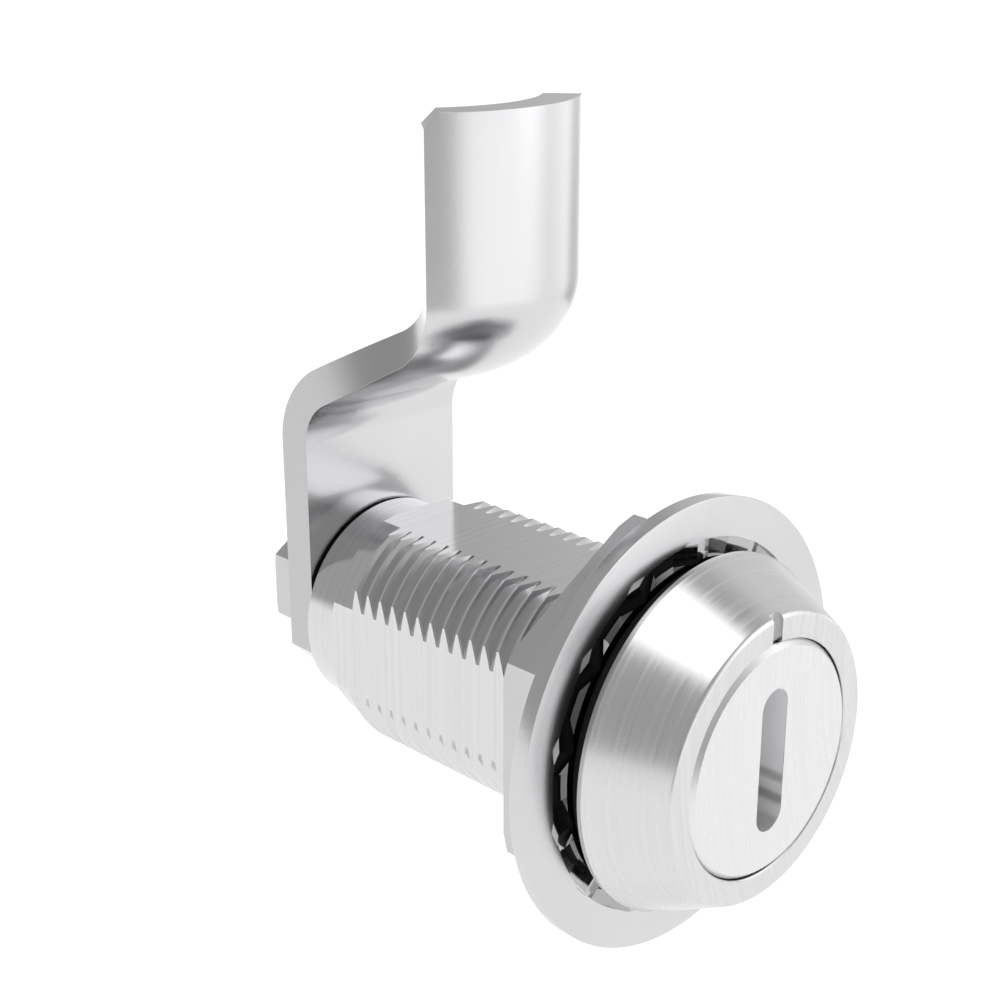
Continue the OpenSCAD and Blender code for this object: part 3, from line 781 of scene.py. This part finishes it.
# conical head with its rounded face edge, thin rim and seal groove
def headBlank(size, front):
    cone = math.atan2(size["headRadius"] - size["faceRadius"], size["headHeight"] - size["rim"])
    setback = size["faceEdge"] / math.tan((math.pi / 2 + cone) / 2)
    centre = (size["faceRadius"] - setback, front + size["faceEdge"])
    faceEdge = arcPoints(centre, size["faceEdge"], 0, 90 - math.degrees(cone), size["faceEdgeSteps"])
    rimEdge = [(size["headRadius"] + outwards, along - size["rim"]) for outwards, along in rimPoints]
    seat = [
        (size["headRadius"], -size["seatEdge"]), (size["headRadius"] - size["seatEdge"], 0),
        (size["sealRadius"], 0), (size["sealRadius"], -size["sealDepth"]),
        (size["sealBore"], -size["sealDepth"]), (size["sealBore"], 0), (0, 0)]
    return turnedPiece("headBlank", [(0, front)] + faceEdge + rimEdge + seat, size["headSteps"])


# recess of the plug, bore, lip and pocket of the retaining ring
def housingCavity(size, front):
    recessFloor = size["recessDepth"] + front
    rear = size["length"] + past
    return turnedPiece("cavity", [
        (0, front - past), (size["recess"] + size["recessLip"] + past, front - past),
        (size["recess"], front + size["recessLip"]), (size["recess"], recessFloor),
        (size["bore"], recessFloor), (size["bore"], size["lipFront"]),
        (size["lip"], size["lipFront"]), (size["lip"], size["lipRear"]),
        (size["pocket"], size["lipRear"]), (size["pocket"], rear), (0, rear)], size["steps"])


def makeHousing(size):
    front = -size["headHeight"]
    body = threadedBody(size)
    housing = headBlank(size, front)
    half = size["markWidth"] / 2
    mark = boxPiece("mark", (-half, front - past, size["recess"] - past),
                    (half, front + size["markDepth"], size["headRadius"]))
    combine(housing, "UNION", body)
    combine(housing, "DIFFERENCE", housingCavity(size, front), mark)
    housing.name = "housingShell"
    finishPiece(housing, headSteel, "housing", "housing", size["sharp"])


makeHousing(housingSize)


# clamping ring with its fourteen two-sided teeth, which stand in a shallow turned groove

ringSize = {
    "radius": 18.0, "front": 1.6, "rear": 2.9, "edge": 0.1, "edgeSteps": 4, "blank": 9.0,
    "holeRadius": 11.05, "holeFlats": 9.5, "grooveInner": 13.45, "grooveOuter": 14.9, "grooveFloor": 1.9,
    "count": 14, "halfWidth": 2.1, "apex": 1.3, "foot": 2.3, "sunk": 0.02,
    "toothInner": 13.4, "toothOuter": 15.0, "innerSpare": 0.5, "outerSpare": 0.3,
    "steps": 192, "holeSteps": 124, "bandSteps": 188, "sharp": 12,
}


# a prism bent to a ridge, placed once for every tooth and turned about the latch axis
def toothTree():
    labels = ["Half Width", "Apex", "Floor", "Foot", "Inner", "Outer", "Count"]
    tree, entry, result = openTree("toothRow", labels)
    half, apex, floor, foot, inner, outer, count = [entry.outputs[label] for label in labels]
    prism = addNode(tree, "GeometryNodeMeshCube")
    prism.inputs["Size"].default_value = (1, 1, 1)
    prism.inputs["Vertices X"].default_value = 3
    x, y, z = splitAxes(tree, addNode(tree, "GeometryNodeInputPosition").outputs[0])
    isRear = isAbove(tree, y, 0)
    rise = minus(tree, 1, times(tree, mathNode(tree, "ABSOLUTE", x), 2))
    front = minus(tree, floor, times(tree, minus(tree, floor, apex), rise))
    depth = plus(tree, front, times(tree, isRear, minus(tree, foot, front)))
    height = plus(tree, inner, times(tree, minus(tree, outer, inner), plus(tree, z, 0.5)))
    tooth = movePoints(tree, prism.outputs["Mesh"], times(tree, times(tree, x, 2), half), depth, height)
    points = addNode(tree, "GeometryNodePoints")
    connect(tree, count, points.inputs["Count"])
    share = mathNode(tree, "DIVIDE", addNode(tree, "GeometryNodeInputIndex").outputs[0], count)
    row = addNode(tree, "GeometryNodeInstanceOnPoints")
    connect(tree, points.outputs[0], row.inputs["Points"])
    connect(tree, tooth, row.inputs["Instance"])
    connect(tree, joinAxes(tree, 0.0, times(tree, share, 2 * math.pi), 0.0), row.inputs["Rotation"])
    return closeTree(tree, entry, result, row.outputs[0])


# flat disc with the groove, both outer edges rounded, and the hole with its four flats
def ringBlank(size):
    radius, front, rear, edge = size["radius"], size["front"], size["rear"], size["edge"]
    groove = [(size["grooveInner"], front), (size["grooveInner"], size["grooveFloor"]),
              (size["grooveOuter"], size["grooveFloor"]), (size["grooveOuter"], front)]
    outline = [(size["blank"], front)] + groove
    outline += arcPoints((radius - edge, front + edge), edge, 0, 90, size["edgeSteps"])
    outline += arcPoints((radius - edge, rear - edge), edge, 90, 180, size["edgeSteps"])
    ring = turnedPiece("toothedRing", outline + [(size["blank"], rear)], size["steps"])
    hole = barPiece("ringHole", size["holeRadius"], front - past, rear + past, size["holeSteps"])
    flat = size["holeFlats"]
    flats = boxPiece("holeFlats", (-flat, front - 2 * past, -flat), (flat, rear + 2 * past, flat))
    combine(hole, "INTERSECT", flats)
    return combine(ring, "DIFFERENCE", hole)


# the teeth are grown a little too long and then turned to the band between two circles
def ringTeeth(size):
    inner, outer = size["toothInner"], size["toothOuter"]
    front, rear = size["front"] - past, size["rear"]
    sizes = {
        "Half Width": size["halfWidth"] * mm, "Apex": size["apex"] * mm, "Foot": size["foot"] * mm,
        "Floor": (size["grooveFloor"] + size["sunk"]) * mm, "Inner": (inner - size["innerSpare"]) * mm,
        "Outer": (outer + size["outerSpare"]) * mm, "Count": size["count"],
    }
    teeth = growPiece("teeth", toothTree(), sizes, ringSteel)
    outline = [(inner, front), (outer, front), (outer, rear), (inner, rear)]
    return combine(teeth, "INTERSECT", turnedPiece("toothBand", outline, size["bandSteps"]))


def makeRing(size):
    ring = ringBlank(size)
    combine(ring, "UNION", ringTeeth(size))
    finishPiece(ring, ringSteel, "housing", "toothed_ring", size["sharp"])


makeRing(ringSize)


# flat seal under the head; its rear edge is rounder than its front one

sealSize = {
    "radius": 13.3, "bore": 11.25, "front": -0.4, "rear": 1.4, "edge": 0.2, "edgeSteps": 4,
    "rearEdge": 0.45, "rearSteps": 6, "steps": 192, "sharp": 50,
}


def makeSeal(size):
    edge, steps, rearEdge = size["edge"], size["edgeSteps"], size["rearEdge"]
    rearCentre = (size["radius"] - rearEdge, size["rear"] - rearEdge)
    outline = arcPoints((size["radius"] - edge, size["front"] + edge), edge, 0, 90, steps)
    outline += arcPoints(rearCentre, rearEdge, 90, 180, size["rearSteps"])
    outline += arcPoints((size["bore"] + edge, size["rear"] - edge), edge, 180, 270, steps)
    outline += arcPoints((size["bore"] + edge, size["front"] + edge), edge, 270, 360, steps)
    seal = turnedPiece("flatSeal", outline, size["steps"])
    finishPiece(seal, sealRubber, "housing", "head_seal", size["sharp"])


makeSeal(sealSize)


# coil behind the detent ball

coilSize = {
    "centre": 1.9, "wire": 0.3, "radius": 0.8, "turns": 4.5, "clearance": 0.005,
    "stepsPerTurn": 24, "wireSteps": 12, "sharp": 50,
}


def coilTree(size):
    tree, entry, result = openTree("coilSpring", ["Radius", "Wire", "Height", "Turns"])
    spiral = addNode(tree, "GeometryNodeCurveSpiral")
    spiral.inputs["Resolution"].default_value = size["stepsPerTurn"]
    links = {"Rotations": "Turns", "Start Radius": "Radius", "End Radius": "Radius", "Height": "Height"}
    for target, source in links.items():
        connect(tree, entry.outputs[source], spiral.inputs[target])
    section = addNode(tree, "GeometryNodeCurvePrimitiveCircle")
    section.inputs["Resolution"].default_value = size["wireSteps"]
    connect(tree, times(tree, entry.outputs["Wire"], 0.5), section.inputs["Radius"])
    tube = addNode(tree, "GeometryNodeCurveToMesh")
    tube.inputs["Fill Caps"].default_value = True
    connect(tree, spiral.outputs[0], tube.inputs["Curve"])
    connect(tree, section.outputs[0], tube.inputs["Profile Curve"])
    return closeTree(tree, entry, result, tube.outputs[0])


def makeCoil(size):
    low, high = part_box("detent_spring")
    wire, clearance = size["wire"] * mm, size["clearance"] * mm
    sizes = {
        "Radius": size["radius"] * mm, "Wire": wire, "Turns": size["turns"],
        "Height": high[2] - low[2] - wire - 2 * clearance,
    }
    coil = growPiece("detentCoil", coilTree(size), sizes, innerSteel)
    start = Vector((0, size["centre"] * mm, low[2] + wire / 2 + clearance))
    coil.data.transform(Matrix.Translation(start))
    finishPiece(coil, innerSteel, "plug", "detent_spring", size["sharp"])


makeCoil(coilSize)


# hexagon bolt that holds the pawl; its corners stand up and down

boltSize = {
    "seat": 41.7, "head": 4.0, "flats": 10.0, "collar": 0.25, "collarInset": 0.1, "overlap": 0.5,
    "radius": 3.0, "length": 12.0, "point": 0.6, "bevel": 0.35, "bevelStart": 0.35,
    "dishEdge": 1.6, "dishFloor": 2.1, "dishDepth": 0.25, "headSteps": 96, "shankSteps": 64, "sharp": 20,
}


# hexagon with bevelled corners and a shallow dish in its end
def boltHead(size, start):
    half = size["flats"] / 2
    corner = half / math.cos(math.radians(30))
    rear = size["seat"] + size["head"]
    turns = [math.radians(60 * k) for k in range(6)]
    vertices = [(corner * math.sin(a), y, corner * math.cos(a)) for y in (start, rear) for a in turns]
    sides = [(k, (k + 1) % 6, (k + 1) % 6 + 6, k + 6) for k in range(6)]
    head = faceOutwards(newPiece("pawlBolt", vertices, [tuple(range(6)), tuple(range(6, 12))] + sides))
    floor = rear - size["dishDepth"]
    crown = turnedPiece("crown", [
        (0, start - past), (corner + past, start - past), (corner + past, rear - size["bevel"]),
        (half + size["bevelStart"], rear), (half - size["dishEdge"], rear),
        (half - size["dishFloor"], floor), (0, floor)], size["headSteps"])
    return combine(head, "INTERSECT", crown)


# shank with a bevelled point, and the round collar that ends inside the head
def boltShank(size, start):
    seat, radius, point = size["seat"], size["radius"], size["point"]
    tip = seat - size["length"]
    collar = size["flats"] / 2 - size["collarInset"]
    inside = start + size["overlap"]
    return turnedPiece("shank", [
        (0, tip), (radius - point, tip), (radius, tip + point), (radius, seat), (collar, seat),
        (collar, inside), (0, inside)], size["shankSteps"])


def makeBolt(size):
    start = size["seat"] + size["collar"]
    bolt = boltHead(size, start)
    combine(bolt, "UNION", boltShank(size, start))
    finishPiece(bolt, boltSteel, "shaft", "pawl_bolt", size["sharp"])


makeBolt(boltSize)


# floor, light and camera

studio = {
    "floorDrop": 0.062, "floorRadius": 0.25, "floorSides": 96, "floorColour": (0.95, 0.95, 0.95),
    "floorRoughness": 0.9, "floorGlow": 0.36, "ceiling": 0.47, "below": 1.12, "horizon": 0.08,
    "backdrop": 1.1,
}

# soft boxes of the sky: azimuth from the front (right positive), elevation, inner and outer radius, strength
skyBoxes = {
    "overhead": (-18, 78, 4, 28, 2.3),
    "rightWall": (95, 18, 15, 45, 0.38),
    "frontGlow": (45, 20, 10, 32, 1.1),
    "frontFill": (20, -6, 12, 42, 0.30),
    "leftShade": (-32, -16, 8, 28, -0.5),
    "rightShade": (104, -16, 6, 20, -0.65),
    "backRight": (133, -22, 14, 30, 0.4),
}


def skyDirection(azimuth, elevation):
    azimuth, elevation = math.radians(azimuth), math.radians(elevation)
    level = math.cos(elevation)
    return Vector((math.sin(azimuth) * level, -math.cos(azimuth) * level, math.sin(elevation)))


def makeFloor():
    bpy.ops.mesh.primitive_circle_add(vertices=studio["floorSides"], radius=studio["floorRadius"],
                                      fill_type="NGON", location=(0, 0, -studio["floorDrop"]))
    floor = bpy.context.object
    floor.name = "floor"
    material, tree, shader = startMaterial("paleFloor")
    shader.inputs["Base Color"].default_value = (*studio["floorColour"], 1)
    shader.inputs["Roughness"].default_value = studio["floorRoughness"]
    shader.inputs["Emission Color"].default_value = (1, 1, 1, 1)
    shader.inputs["Emission Strength"].default_value = studio["floorGlow"]
    floor.data.materials.append(material)


def makeSky():
    world = bpy.data.worlds.new("studioSky")
    world.use_nodes = True
    tree = world.node_tree
    background = tree.nodes["Background"]
    direction = surfacePlace(tree, "Generated")
    # grey above the horizon, white below it
    horizon = (-studio["horizon"], studio["horizon"])
    level = smoothRange(tree, splitAxes(tree, direction)["Z"], horizon, (studio["below"], studio["ceiling"]))
    for azimuth, elevation, inner, outer, strength in skyBoxes.values():
        facing = addNode(tree, "ShaderNodeVectorMath", operation="DOT_PRODUCT")
        facing.inputs[1].default_value = skyDirection(azimuth, elevation)
        connect(tree, direction, facing.inputs[0])
        spread = [math.cos(math.radians(angle)) for angle in (outer, inner)]
        level = plus(tree, level, smoothRange(tree, facing.outputs["Value"], spread, (0, strength)))
    # the camera itself sees a plain white backdrop
    cameraRay = addNode(tree, "ShaderNodeLightPath").outputs["Is Camera Ray"]
    connect(tree, blend(tree, cameraRay, level, studio["backdrop"]), background.inputs["Color"])
    bpy.context.scene.world = world


# the camera stands where the photograph was taken from, solved from the ring, head and thread
cameraView = {
    "azimuth": -44.983, "elevation": 20.157, "lens": 61.244, "sensor": 36,
    "clip": 0.005, "location": (-91.892, -70.188, 60.744),
}


def makeCamera():
    back = skyDirection(cameraView["azimuth"], cameraView["elevation"])
    right = (-back).cross(Vector((0, 0, 1))).normalized()
    up = right.cross(-back)
    data = bpy.data.cameras.new("photoCamera")
    data.lens = cameraView["lens"]
    data.sensor_width = cameraView["sensor"]
    data.clip_start = cameraView["clip"]
    camera = bpy.data.objects.new("photoCamera", data)
    turn = Matrix((right, up, back)).transposed().to_4x4()
    camera.matrix_world = Matrix.Translation(Vector(cameraView["location"]) * mm) @ turn
    bpy.context.scene.collection.objects.link(camera)
    bpy.context.scene.camera = camera


makeFloor()
makeSky()
makeCamera()
bpy.context.scene.view_settings.view_transform = "Standard"
print("studio done")
